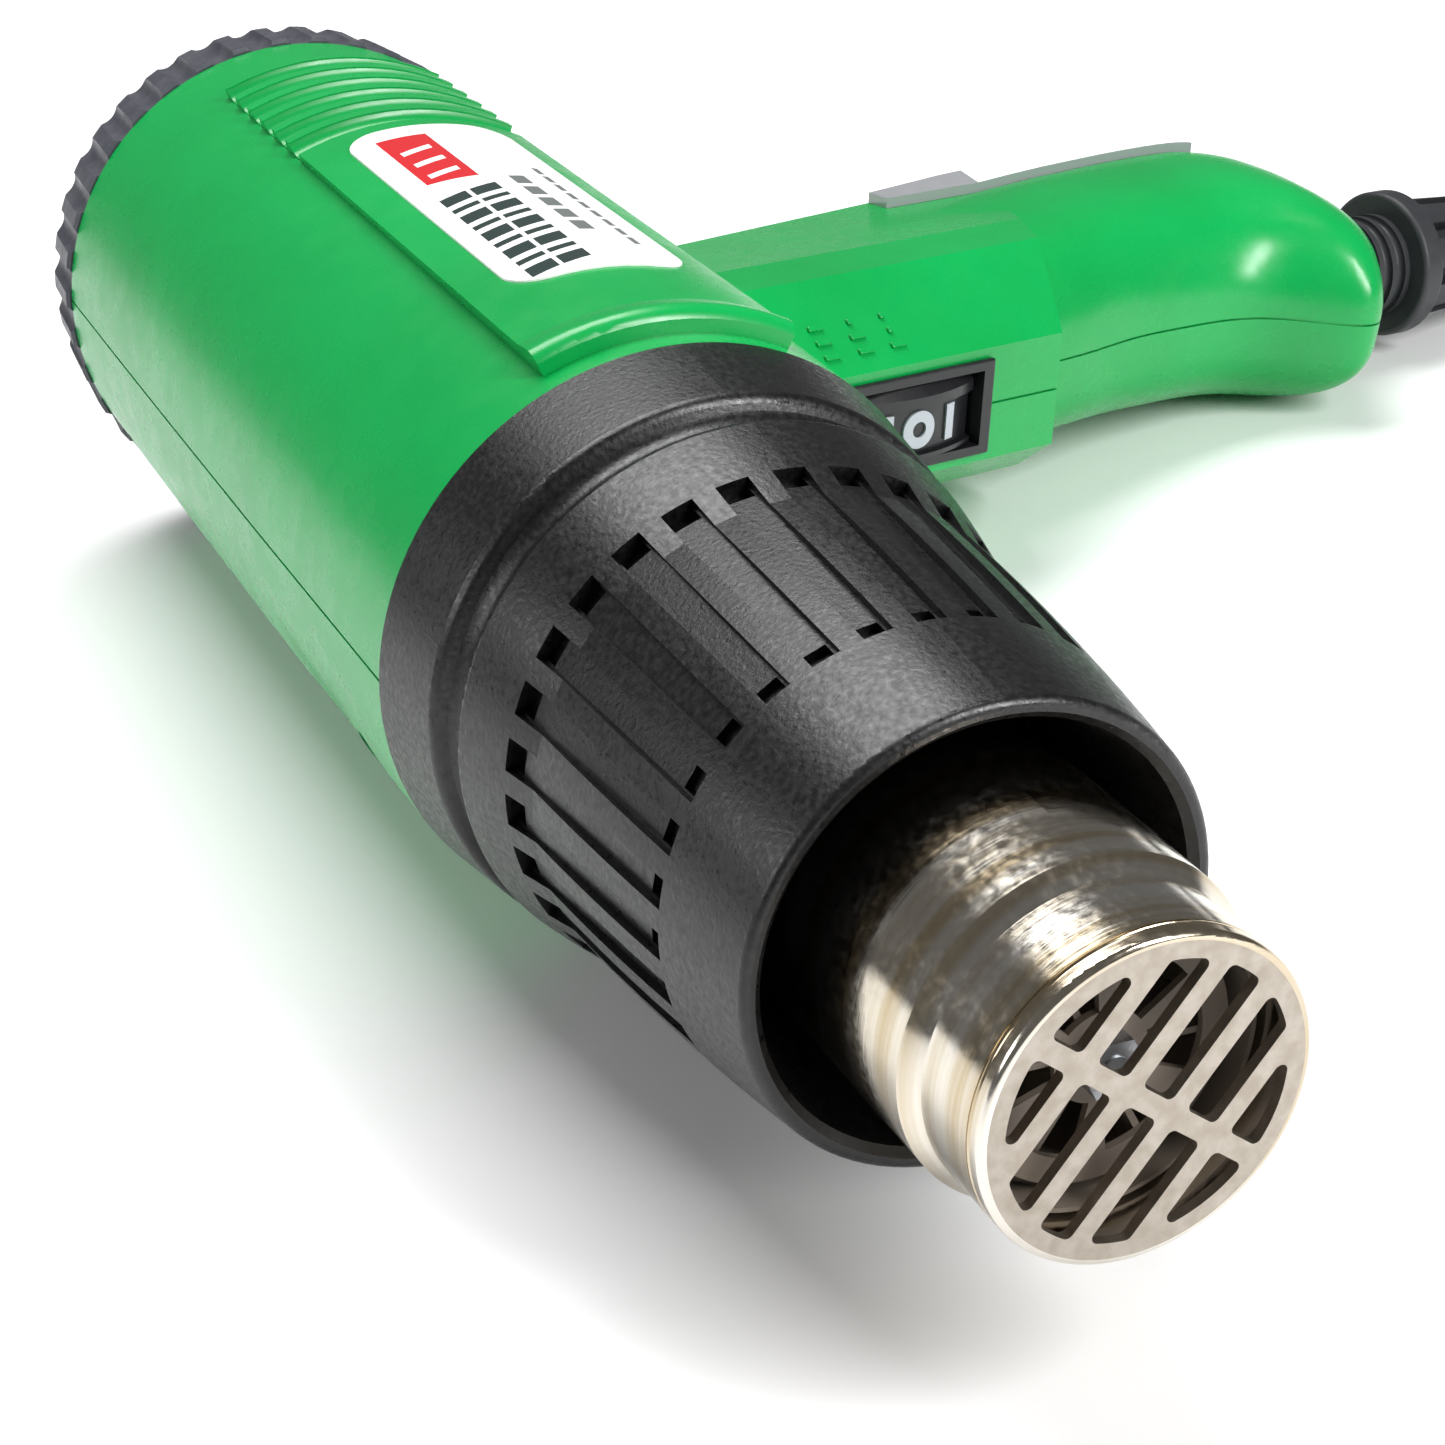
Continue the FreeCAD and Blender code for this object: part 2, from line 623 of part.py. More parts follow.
# ---------------------------------------------------------------- heating element
def make_element():
    rear = base_x
    length = element_front_x - rear
    slab = block(rear, element_front_x, -blade_half, blade_half, -blade_thickness / 2, blade_thickness / 2)
    former = fused([slab, spun(slab, 60), spun(slab, 120)]).cut(rod((rear, 0, 0), (element_front_x, 0, 0), 1.5))
    reach = blade_half + wire_radius + 0.05
    points = []
    for step in range(6 * wire_turns + 1):
        angle = math.radians(60 * step)
        x = rear + 6 + (length - 14) * step / (6 * wire_turns)
        points.append((x, reach * math.cos(angle), reach * math.sin(angle)))
    coil = wire_along(points, wire_radius)[0]
    save("mica_former", former)
    save("heating_wire", coil.cut(former))
    save("centre_rod", rod((rear - base_thickness - 5, 0, 0), (element_front_x + 3.4, 0, 0), 1.5))
    save("rod_nuts", Part.makeCompound([
        hex_nut(element_front_x + 1.0, 2.2, 2.9), hex_nut(rear - base_thickness - 3.0, 2.4, 2.9)]))
    save("mica_sleeve", ring(rear, element_front_x + 2.0, 16.2, 15.7))
    disc = ring(element_front_x, element_front_x + 0.8, 13.8, 1.5)
    window = turned([(element_front_x - 1, 5.0), (element_front_x + 2, 5.0), (element_front_x + 2, 11.0),
                     (element_front_x - 1, 11.0)], 0, 42)
    save("mica_end_disc", disc.cut([spun(window, 60 * i + 9) for i in range(6)]))
    plate = ring(rear - base_thickness, rear, base_radius, 1.5)
    hole = rod((rear - base_thickness - 1, 0, 9.5), (rear + 1, 0, 9.5), 3.4)
    plate = plate.cut([spun(hole, 60 * i + 30) for i in range(6)])
    screw_holes = [spun(base_screw_hole(), 120 * i) for i in range(3)]
    save("heater_base", plate.cut(screw_holes + terminal_pins(0.8)))
    save("element_terminals", Part.makeCompound(terminal_pins(0.8)))
    save("base_screws", Part.makeCompound([spun(base_screw(), 120 * i) for i in range(3)]))
    save("nozzle_clamp_ring", ring(nozzle_rear_x + 1.2, nozzle_rear_x + 2.2, base_radius, nozzle_rear_radius + 0.3)
         .cut(screw_holes))
    save("nozzle_gasket", ring(base_x, nozzle_rear_x, base_radius, 19.6).cut(screw_holes))
    cutout_x = rear - base_thickness
    cutout = fused([rod((cutout_x - 4.5, 13.4, 0), (cutout_x, 13.4, 0), 4.0),
                    block(cutout_x - 3.2, cutout_x - 2.4, 9.0, 22.0, -1.6, 1.6)])
    save("thermal_cutout", cutout)
    save("thermal_fuse", spun(rod((cutout_x - 13.0, 12.0, 0), (cutout_x, 12.0, 0), 1.7), 210))


def hex_nut(x, thickness, flat):
    corners = [(x, flat / math.cos(math.pi / 6) * math.cos(math.radians(60 * i)),
                flat / math.cos(math.pi / 6) * math.sin(math.radians(60 * i))) for i in range(6)]
    nut = Part.Face(outline(corners)).extrude(V(thickness, 0, 0))
    return nut.cut(rod((x - 1, 0, 0), (x + thickness + 1, 0, 0), 1.5))


def terminal_pins(radius):
    pins = []
    for index in range(3):
        pin = rod((base_x - base_thickness - 9, 0, 17.8), (base_x, 0, 17.8), radius)
        pins.append(spun(pin, 120 * index + 60))
    return pins


def base_screw_hole():
    return rod((base_x - 9, 0, base_screw_circle), (base_x + 9, 0, base_screw_circle), screw_radius)


def base_screw():
    front, height = nozzle_rear_x + 2.2, base_screw_circle
    shank = rod((base_x - base_thickness - 6, 0, height), (front, 0, height), screw_radius)
    head = rod((front, 0, height), (front + 1.8, 0, height), 2.4)
    return shank.fuse(head)


# ---------------------------------------------------------------- air path and motor
def make_flow_guide():
    outer_radius = barrel_rear_radius - wall - 1.4
    t = guide_wall
    fan_front = fan_rear_x + fan_width + fan_clearance
    guide = turned([
        (guide_rear_x, outer_radius - t), (fan_front, outer_radius - t),
        (guide_throat_x, guide_throat_radius), (guide_front_x, guide_throat_radius),
        (guide_front_x, base_radius), (guide_front_x - 1.8, base_radius),
        (guide_front_x - 1.8, guide_throat_radius + t), (guide_throat_x, guide_throat_radius + t),
        (fan_front - 1, outer_radius), (guide_rear_x, outer_radius)])
    pad = ring(guide_front_x, base_x - base_thickness, base_radius, 25.6)
    lug = rod((guide_front_x, 0, base_screw_circle), (base_x - base_thickness, 0, base_screw_circle), 3.4)
    hole = rod((guide_front_x - 6, 0, base_screw_circle), (base_x, 0, base_screw_circle), screw_radius)
    lugs = [spun(lug, 120 * i) for i in range(3)]
    holes = [spun(hole, 120 * i) for i in range(3)]
    guide = guide.fuse([pad] + lugs).cut(holes)
    save("flow_guide", guide.cut(handle_gap()))


def handle_gap():
    """Room for the leads where they leave the barrel for the handle, and for the motor's leads behind the fan."""
    return fused([block(-178, -160, 20, 60, -6, 6), block(guide_rear_x - 1, -194, 25, 60, -3.6, 3.6)])


def make_motor():
    front, rear = motor_front_x, motor_rear_x
    can = ring(rear, front, motor_radius, motor_radius - 1.2)
    nose = ring(front, front + 1.2, motor_radius, 4.0)
    vents = [spun(rod((front - 1, 0, 10.5), (front + 3, 0, 10.5), 2.4), 60 * i) for i in range(6)]
    save("motor_can", can.fuse(nose).cut(vents))
    save("motor_magnets", Part.makeCompound([
        turned([(rear + 6, motor_radius - 4.6), (front - 4, motor_radius - 4.6), (front - 4, motor_radius - 1.2),
                (rear + 6, motor_radius - 1.2)], start, 128) for start in (26, 206)]))
    core = ring(rear + 8, front - 6, motor_radius - 5.2, shaft_radius)
    slot = block(rear + 7, front - 5, -1.6, 1.6, 6.5, 12)
    mouth = block(rear + 7, front - 5, -0.6, 0.6, 10, 16)
    slots = [spun(slot.fuse(mouth), 72 * i) for i in range(5)]
    save("armature_core", core.cut(slots))
    winding = block(rear + 5.6, front - 3.6, -1.3, 1.3, 6.8, 9.8)
    save("armature_windings", Part.makeCompound([spun(winding, 72 * i) for i in range(5)]))
    segments = []
    for index in range(5):
        segments.append(turned([(rear + 0.8, shaft_radius), (rear + 5.0, shaft_radius), (rear + 5.0, 4.2),
                                (rear + 0.8, 4.2)], 72 * index + 2, 68))
    save("commutator", Part.makeCompound(segments))
    save("motor_shaft", rod((rear - 7, 0, 0), (fan_rear_x + fan_width + 2.0, 0, 0), shaft_radius))
    bush = shaft_radius + running_clearance
    save("shaft_bushes", Part.makeCompound([
        ring(front - 1.0, front + 2.2, 4.0, bush), ring(rear - 5.6, rear - 1.6, 4.0, bush)]))
    end = ring(rear - 4.6, rear, motor_radius, 4.0)
    end = end.cut(ring(rear - 2.6, rear + 1, motor_radius - 2.0, 4.0 + 1.6))
    pockets = [spun(block(rear - 6, rear - 1, -3, 3, 8.4, 14), 90 * i + 45) for i in range(4)]
    save("motor_end_cap", end.cut(pockets))
    brush = block(rear + 1.4, rear + 4.4, -1.8, 1.8, 4.2 + contact, 10.5)
    save("carbon_brushes", Part.makeCompound([spun(brush, a) for a in (0, 180)]))
    holder = block(rear - 2.6, rear + 5.0, -2.6, 2.6, 6.2, 11.6).cut(
        block(rear + 1.4, rear + 4.4, -1.8, 1.8, 4.0, 10.5))
    save("brush_holders", Part.makeCompound([spun(holder, a) for a in (0, 180)]))
    strap = ring(rear + 4, rear + 16, motor_radius + 2.0, motor_radius)
    reach = barrel_rear_radius - wall - 0.6
    spokes = [spun(block(rear + 4, rear + 16, -2.0, 2.0, motor_radius + 1.0, reach), a) for a in (36, 144, 216, 324)]
    save("motor_mount", strap.fuse(spokes))
    board_x = rear - 10.0
    board = ring(board_x - 1.6, board_x, 14.5, 5.0)
    posts = [spun(rod((board_x, 0, 12.6), (rear - 4.6, 0, 12.6), 1.5), a) for a in (45, 225)]
    save("rectifier_board", board)
    save("board_posts", Part.makeCompound(posts))
    diode = rod((board_x - 3.6, -2.6, 10.0), (board_x - 3.6, 2.6, 10.0), 1.4)
    foot = fused([diode] + [rod((board_x - 3.6, y, 10.0), (board_x - 1.6, y, 10.0), 0.45) for y in (-2.1, 2.1)])
    save("rectifier_diodes", Part.makeCompound([spun(foot, a) for a in (0, 90, 180, 270)]))


def make_impeller():
    rear, front = fan_rear_x, fan_rear_x + fan_width
    hub = turned([(rear, shaft_radius), (front, shaft_radius), (front, 5.0),
                  ("arc", (front - 6, 7.0), (rear + 2.2, 14.0)), (rear + 2.2, fan_radius), (rear + 0.6, fan_radius),
                  (rear + 0.6, 9.0), (rear, 9.0)])
    inner, outer = 13.0, fan_radius
    blade = Part.Face(outline([
        (rear + 1.5, 0, inner), ("arc", (rear + 1.5, 4.4, (inner + outer) / 2), (rear + 1.5, 1.0, outer)),
        (rear + 1.5, 2.3, outer), ("arc", (rear + 1.5, 5.8, (inner + outer) / 2), (rear + 1.5, 1.4, inner))]))
    vane = blade.extrude(V(fan_width - 1.5, 0, 0))
    trim = turned([(rear - 1, inner - 1), (rear - 1, fan_radius), (rear + 9, fan_radius), (front, inner + 4),
                   (front, inner - 1)])
    vanes = [spun(vane.common(trim), 360.0 * i / fan_blades) for i in range(fan_blades)]
    save("impeller", fused([hub] + vanes))


# ---------------------------------------------------------------- switch
def make_switch():
    low = -3.0
    frame = switch_block(bezel_length, 2 * bezel_half_width, 0, bezel_stand)
    edges = [e for e in frame.Edges]
    frame = frame.makeFillet(0.4, edges)
    collar = switch_block(bezel_length - 2.4, 2 * bezel_half_width - bezel_lap, low, bezel_stand / 2)
    window = switch_block(rocker_length + 2 * rocker_clearance, 2 * (rocker_half_width + rocker_clearance), -9, 5)
    pin = pivot_pin(bezel_half_width - 0.6, rocker_pin_radius + running_clearance)
    save("switch_bezel", frame.fuse(collar).cut([window, pin]))
    body = switch_block(bezel_length - 2.6, 2 * bezel_half_width - bezel_lap - 0.2, -22.0, low)
    cavity = switch_block(rocker_length + 2 * rocker_clearance, 2 * (rocker_half_width + rocker_clearance), -9, 5)
    save("switch_body", body.cut([cavity, pin]))
    centre = on_face(bezel_centre_y, -rocker_drop, 0)
    straight = 2 * rocker_half_width - rocker_flank
    wheel = Part.makeCylinder(rocker_radius, straight, centre - V(0, 0, rocker_half_width))
    flank = Part.makeCone(rocker_radius, rocker_radius - rocker_flank, rocker_flank,
                          centre + V(0, 0, rocker_half_width - rocker_flank))
    ends = Part.makeCylinder(rocker_length / 2, 2 * rocker_half_width, pivot - V(0, 0, rocker_half_width))
    slab = switch_block(rocker_length + 2, 2 * rocker_half_width, -4.0, rocker_stand + 2)
    trough = about_rocker(rocker_radius + 3, trough_low, trough_high).cut(
        about_rocker(rocker_radius - rocker_trough, trough_low - 1, trough_high + 1))
    stem = Part.makeCylinder(2.6, 2 * rocker_half_width, pivot - V(0, 0, rocker_half_width))
    cap = wheel.fuse(flank).common(ends).common(slab).cut(trough)
    save("switch_rocker", cap.fuse([stem, pivot_pin(bezel_half_width - 0.8, rocker_pin_radius)]))
    save("rocker_marks", Part.makeCompound(rocker_marks()))
    tabs = [switch_block(0.8, 5.0, -29.0, -22.0, shift) for shift in (-8.0, 0.0, 8.0)]
    save("switch_terminals", Part.makeCompound(tabs))


rocker_drop = rocker_radius - rocker_stand
pivot_depth = 3.0
pivot = on_face(bezel_centre_y, -pivot_depth, 0)


def pivot_pin(half, radius):
    return Part.makeCylinder(radius, 2 * half, pivot - V(0, 0, half))


def about_rocker(radius, low, high):
    """A cylinder about the centre of the rocker's bowed face."""
    return Part.makeCylinder(radius, high - low, on_face(bezel_centre_y, -rocker_drop, low))


def rocker_marks():
    """Raised I, O and II on the floor of the rocker's trough."""
    floor_radius = rocker_radius - rocker_trough
    skin = about_rocker(floor_radius + mark_height, -FAR / 8, FAR / 8).cut(
        about_rocker(floor_radius, -FAR / 8 - 1, FAR / 8 + 1))
    middle = (trough_low + trough_high) / 2
    shapes = []
    for along in (6.2, -5.4, -8.0):
        shapes.append(Part.makeBox(9, 1.7, 5.4, V(-6, along - 0.85, middle - 2.7)))
    disc = Part.makeCylinder(2.85, 9, V(-6, 0, middle), X_AXIS)
    shapes.append(disc.cut(Part.makeCylinder(1.2, 11, V(-7, 0, middle), X_AXIS)))
    marks = []
    for shape in shapes:
        shape.rotate(ORIGIN, Z_AXIS, face_angle)
        shape.translate(on_face(bezel_centre_y, 0, 0))
        marks.append(biggest(shape.common(skin)))
    return marks


# ---------------------------------------------------------------- cord boot and clamp
def along_boot(distance, across=0.0):
    return V(boot_exit[0], boot_exit[1], across) + boot_direction * distance


def boot_shape(radius, start, end):
    return Part.makeCylinder(radius, end - start, along_boot(start), boot_direction)


def boot_solid():
    """Rubber boot, with an inner flange, ribbed neck, ring, slotted body and tail."""
    neck, ring_end = boot_neck_length, boot_neck_length + boot_ring_width
    body_end = ring_end + boot_body_length
    steps = [(-9.0, 0), (-9.0, 9.9), (-6.0, 9.9), (-6.0, boot_neck_radius)]
    for rib in range(3):
        at = 1.2 + rib * 2.9
        steps += [(at, boot_neck_radius), ("arc", (at + 0.9, boot_neck_radius - 1.3), (at + 1.8, boot_neck_radius))]
    steps += [(neck, boot_neck_radius), (neck, boot_ring_radius - 0.8),
              ("arc", (neck + 0.25, boot_ring_radius - 0.25), (neck + 0.8, boot_ring_radius)),
              (ring_end - 0.8, boot_ring_radius),
              ("arc", (ring_end - 0.25, boot_ring_radius - 0.25), (ring_end, boot_ring_radius - 0.8)),
              (ring_end, boot_body_radius),
              (body_end - 1.5, boot_body_radius - 1.2),
              ("arc", (body_end - 0.4, boot_body_radius - 1.9), (body_end, boot_body_radius - 3.0)),
              (boot_end - boot_tail_round, boot_tail_radius),
              ("arc", (boot_end - 0.3 * boot_tail_round, boot_tail_radius - 0.3 * boot_tail_round),
               (boot_end, boot_tail_radius - boot_tail_round)), (boot_end, 0)]
    solid = turned(steps)
    slot_start, slot_end = ring_end + 1.6, body_end - 3.0
    groove = block(slot_start, slot_end, -1.5, 1.5, 6.4, 14)
    solid = solid.cut([spun(groove, 45 * i) for i in range(8)])
    return solid


def make_boot():
    solid = boot_solid().cut(rod((-12, 0, 0), (boot_end + 1, 0, 0), cord_radius))
    turn = math.degrees(math.atan2(boot_direction.y, boot_direction.x))
    solid.rotate(ORIGIN, Z_AXIS, turn)
    solid.translate(along_boot(0))
    save("cord_boot", solid)


def make_clamp():
    y = clamp_y
    centre_x = along_boot(y - boot_exit[1]).x
    jaw = block(centre_x - clamp_back, centre_x + clamp_front, y - 4, y + 4, 0.6, 6.0)
    anvil = block(centre_x - clamp_back, centre_x + clamp_front, y - 4, y + 4, -6.0, -0.6)
    bore = Part.makeCylinder(cord_radius, 40, along_boot(y - boot_exit[1] - 20), boot_direction)
    holes = [rod((centre_x + s * clamp_pitch, y, -7), (centre_x + s * clamp_pitch, y, 8), clamp_screw)
             for s in (-1, 1)]
    save("cord_clamp", jaw.cut([bore] + holes))
    save("clamp_anvil", anvil.cut([bore] + holes))
    screws = [fused([rod((centre_x + s * clamp_pitch, y, -6), (centre_x + s * clamp_pitch, y, 6), clamp_screw),
                     rod((centre_x + s * clamp_pitch, y, 6), (centre_x + s * clamp_pitch, y, 7.6), 2.4)])
              for s in (-1, 1)]
    save("clamp_screws", Part.makeCompound(screws))


def make_inner_wiring():
    """Terminal block, capacitor, and the leads between switch, motor and heater."""
    save("terminal_block", block(-216, -201, 98, 110, -6, 6).cut(
        [rod((-220, y, 0), (-190, y, 0), 1.6) for y in (101.5, 106.5)]))
    save("suppression_capacitor", block(-193.5, -186.0, 97, 111, -5.5, 5.5))
    inside = (boot_exit[1] - clamp_y) / math.cos(math.radians(boot_lean)) + 8
    start = along_boot(-inside)
    save("cord_inner_end", Part.makeCylinder(cord_radius, boot_end + inside, start, boot_direction))
    core = [wire_along([(start.x + s * 1.6, start.y - 1.0, 0), (start.x - 3 + s * 1.8, start.y - 5, 0),
                        (-208.5 + s * 2.2, 110.9, 0)], 0.9)[0] for s in (-1, 1)]
    save("mains_leads", Part.makeCompound(core))
    switch_end = on_face(bezel_centre_y, -29.0, 0)
    leads = []
    for offset in (-3.2, 3.2):
        leads.append(wire_along([(switch_end.x - 2.0, switch_end.y + 6.4, offset / 2), (-199, 76, offset),
                                 (-203.5, 97.2, offset)], 0.9)[0])
    save("switch_leads", Part.makeCompound(leads))
    heater = []
    for offset in (-3.0, 0.0, 3.0):
        heater.append(wire_along([(-193.0, 47.0, offset), (-176, 33.6, offset), (-150, 29.5, offset),
                                  (-128, 26.9, offset * 1.2)], 0.9)[0])
    save("heater_leads", Part.makeCompound(heater))
    motor = [wire_along([(-197, 46.0, o), (-195.8, 35.0, o), (-205, 28.6, o), (-215, 26.0, o), (-243.4, 20.8, o),
                         (-246.6, 13.6, o)], 0.8)[0] for o in (-2.0, 2.0)]
    save("motor_leads", Part.makeCompound(motor))


def make_housing_screws():
    screws = []
    for x, y in barrel_screws + handle_screws:
        seat = -screw_depth
        head = rod((x, y, seat - screw_head), (x, y, seat), screw_head_radius)
        cross = [block(x - 1.7, x + 1.7, y - 0.35, y + 0.35, seat - screw_head - 1, seat - screw_head + 1.0),
                 block(x - 0.35, x + 0.35, y - 1.7, y + 1.7, seat - screw_head - 1, seat - screw_head + 1.0)]
        screws.append(head.cut(cross).fuse(rod((x, y, seat), (x, y, 10.0), screw_radius)))
    save("housing_screws", Part.makeCompound(screws))


# ---------------------------------------------------------------- cord, coil and plug
def cord_route():
    """From the boot's end, down to the floor and into the coil's outermost turn."""
    start = lay_point(tuple(along_boot(boot_end)))
    down = lay_point(tuple(along_boot(boot_end + 24)))
    cx, cy = coil_centre
    outer = coil_mean_radius + (coil_turns_wide - 1) * cord_radius
    return [(start.x, start.y, start.z), (down.x, down.y, down.z), (cx, cy - 50.0, cord_radius + 0.2),
            (cx - 24.0, cy - 36.0, cord_radius), (cx - 42.0, cy - 19.0, cord_radius), (cx - outer, cy, cord_radius)]


def tail_route():
    """From the coil's outermost turn, down to the plug beside it."""
    cx, cy = coil_centre
    outer = coil_mean_radius + (coil_turns_wide - 1) * cord_radius
    return [(cx, cy + outer, 3 * cord_radius), (cx + 24.0, cy + outer - 3.0, 2.2 * cord_radius),
            (cx + 48.0, cy + outer - 10.0, plug_height), (cx + 66.0, cy + outer - 20.0, plug_height)]


def make_cord():
    tube, path, radii = wire_along(cord_route(), cord_radius)
    tail, tail_path, tail_radii = wire_along(tail_route(), cord_radius)
    exact = math.pi * cord_radius ** 2 * path.Length
    print("cord radii %s, volume ratio %.4f" % (["%.0f" % r for r in radii + tail_radii], tube.Volume / exact))
    save("power_cord", tube, lies=False)
    save("cord_tail", tail, lies=False)
    cx, cy = coil_centre
    half = coil_turns_wide * cord_radius
    height = 2 * cord_radius * coil_layers
    coil = Part.makeCylinder(coil_mean_radius + half, height, V(cx, cy, 0))
    coil = coil.cut(Part.makeCylinder(coil_mean_radius - half, height + 2, V(cx, cy, -1)))
    save("cord_coil", coil, lies=False)
    mean = coil_mean_radius
    tie_out = block(cx + mean - half - 1.2, cx + mean + half + 1.2, cy - 4.0, cy + 4.0, 0.0, height + 1.2)
    save("cord_tie", tie_out.cut(coil), lies=False)
    in_coil = math.pi * 2 * coil_mean_radius * coil_turns_wide * coil_layers
    print("cord outside the coil %.0f mm, in it %.0f mm" % (path.Length + tail_path.Length, in_coil))


def make_plug():
    """Two-pin moulded plug, lying beside the coil at the end of the cord."""
    route = tail_route()
    end, before = V(*route[-1]), V(*route[-2])
    heading = math.degrees(math.atan2(end.y - before.y, end.x - before.x))

    def section(along, half, low, high):
        return outline([(along, -half, low), (along, half, low), (along, half, high), (along, -half, high)])

    tail_part = Part.makeLoft([section(0.0, 4.6, -4.6, 4.6), section(plug_length * 0.55, 7.4, -5.6, 5.6),
                               section(plug_length, 8.6, -6.4, 6.4)], True, True)
    body = tail_part.makeFillet(1.4, tail_part.Edges)
    blades = [block(plug_length, plug_length + 10.0, s * 6.35 - 0.75, s * 6.35 + 0.75, -3.1, 3.1) for s in (-1, 1)]
    for name, shape in (("plug_body", body), ("plug_pins", Part.makeCompound(blades))):
        shape.rotate(ORIGIN, Z_AXIS, heading)
        shape.translate(end)
        save(name, shape, lies=False)


make_housing()
make_label()
make_backstrap()
make_rear_cap()
make_collar()
make_nozzle()
make_element()
make_flow_guide()
make_motor()
make_impeller()
make_switch()
make_boot()
make_clamp()
make_inner_wiring()
make_housing_screws()
make_cord()
make_plug()
print("%d nodes, lies at %.2f degrees" % (len(saved), lie_angle))
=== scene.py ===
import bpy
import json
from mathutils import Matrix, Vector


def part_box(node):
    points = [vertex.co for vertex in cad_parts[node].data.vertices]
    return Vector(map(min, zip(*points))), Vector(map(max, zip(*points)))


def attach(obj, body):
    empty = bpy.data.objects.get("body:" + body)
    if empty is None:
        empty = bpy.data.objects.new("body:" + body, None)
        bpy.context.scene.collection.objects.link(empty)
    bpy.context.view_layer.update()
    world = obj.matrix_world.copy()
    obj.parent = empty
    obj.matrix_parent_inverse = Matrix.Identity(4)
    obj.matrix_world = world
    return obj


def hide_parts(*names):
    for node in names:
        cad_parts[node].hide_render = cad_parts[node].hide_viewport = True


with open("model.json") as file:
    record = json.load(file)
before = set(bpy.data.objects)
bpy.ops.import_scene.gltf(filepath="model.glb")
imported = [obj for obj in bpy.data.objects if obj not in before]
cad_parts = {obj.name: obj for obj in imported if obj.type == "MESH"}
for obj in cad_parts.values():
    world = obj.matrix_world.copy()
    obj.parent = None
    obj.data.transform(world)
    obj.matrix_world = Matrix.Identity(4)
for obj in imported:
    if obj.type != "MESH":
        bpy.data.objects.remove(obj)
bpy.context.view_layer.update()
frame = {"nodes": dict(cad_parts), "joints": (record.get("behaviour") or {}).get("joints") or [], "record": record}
print("loaded", len(frame["nodes"]), "CAD pieces")

# %% [markdown]
# A heat gun, lying on its side.
# The CAD frame already holds every moulded, turned and pressed part at its true size.
# This lesson gives those parts their finishes, builds the soft and printed pieces that
# CAD leaves plain, and lights the gun on a pale table.

# %% Tools and shared places
import json
import math

import bpy
from mathutils import Matrix, Vector

MM = 0.001
record = frame["record"]
slot_of = {part["node"]: part["material_slot"] for part in record["subparts"]}

grille_low, grille_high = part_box("outlet_grille")
outlet = Vector((grille_high.x, (grille_low.y + grille_high.y) / 2, (grille_low.z + grille_high.z) / 2))
rocker_axis = next(j["axis"] for j in frame["joints"] if j["name"] == "rocker_tilt")
roll = math.atan2(rocker_axis[1], rocker_axis[2])
print("outlet at", tuple(round(v, 4) for v in outlet), "gun rolled by %.2f degrees" % math.degrees(roll))


def from_gun(x, y, z):
    """A point in millimetres from the outlet: along the barrel, the handle and the gun's left."""
    across = y * math.cos(roll) + z * math.sin(roll)
    upward = z * math.cos(roll) - y * math.sin(roll)
    return outlet + Vector((x, across, upward)) * MM


# %% [markdown]
# The camera looks down on the nozzle from the front left.
# Its place is a distance from the outlet, and its turn is an azimuth, a height and a small roll,
# as a photographer would set a tripod head.

# %% Camera
camera_from_outlet = Vector((174.9, -109.44, 159.92)) * MM
camera_azimuth = math.radians(-22.302)
camera_height = math.radians(29.823)
camera_roll = math.radians(-5.397)
lens_mm = 71.17

bpy.ops.object.camera_add(location=outlet + camera_from_outlet)
camera = bpy.context.object
camera.name = "camera"
away = Vector((
    math.cos(camera_height) * math.cos(camera_azimuth),
    math.cos(camera_height) * math.sin(camera_azimuth),
    math.sin(camera_height)))
level_right = Vector((0, 0, 1)).cross(away).normalized()
level_up = away.cross(level_right)
right = math.cos(camera_roll) * level_right + math.sin(camera_roll) * level_up
up = away.cross(right)
camera.matrix_world = Matrix((
    (right.x, up.x, away.x, camera.location.x),
    (right.y, up.y, away.y, camera.location.y),
    (right.z, up.z, away.z, camera.location.z),
    (0, 0, 0, 1)))
camera.data.lens = lens_mm
camera.data.sensor_width = 36.0
camera.data.clip_start = 0.01
camera.data.clip_end = 20.0
bpy.context.scene.camera = camera
print("camera at", tuple(round(v, 3) for v in camera.location))

# %% [markdown]
# The mains cord leaves the rubber boot, drops to the table and lies in a tied coil behind the gun.
# It is one smooth spline, because a real cord bends evenly and never in straight runs.
# The first and last points follow the cord's route, and a loop sets the turns from two tables,
# one for how wide a turn is and one for how high: side by side on the table, then on top.
# The thickness is a bevel. It is set on the points, so that the curve's bounds stay true.

# %% Cord
CORD_RADIUS = 3.5
coil_x, coil_y = -96.5, 219.0
turn_radii = [
    (0, 50), (1, 49), (9, 49), (10, 48), (11, 45.5), (12, 43), (13, 42), (21, 42), (22, 41), (23, 38.5),
    (24, 36), (25, 35), (40, 35), (41, 36), (42, 38.5), (43, 41), (44, 42), (52, 42), (53, 43), (54, 45.5),
    (55, 48), (56, 49), (64, 49), (65, 50), (66, 52.5)]
turn_heights = [(0, 3.6), (30, 3.6), (31, 4.6), (32, 6.6), (33, 8.6), (34, 10.6), (66, 10.6)]
STEPS_PER_TURN = 12


def between(table, at):
    """Straight-line value in a table of (place, value)."""
    for (a, low), (b, high) in zip(table, table[1:]):
        if at <= b:
            return low + (high - low) * (at - a) / (b - a)
    return table[-1][1]


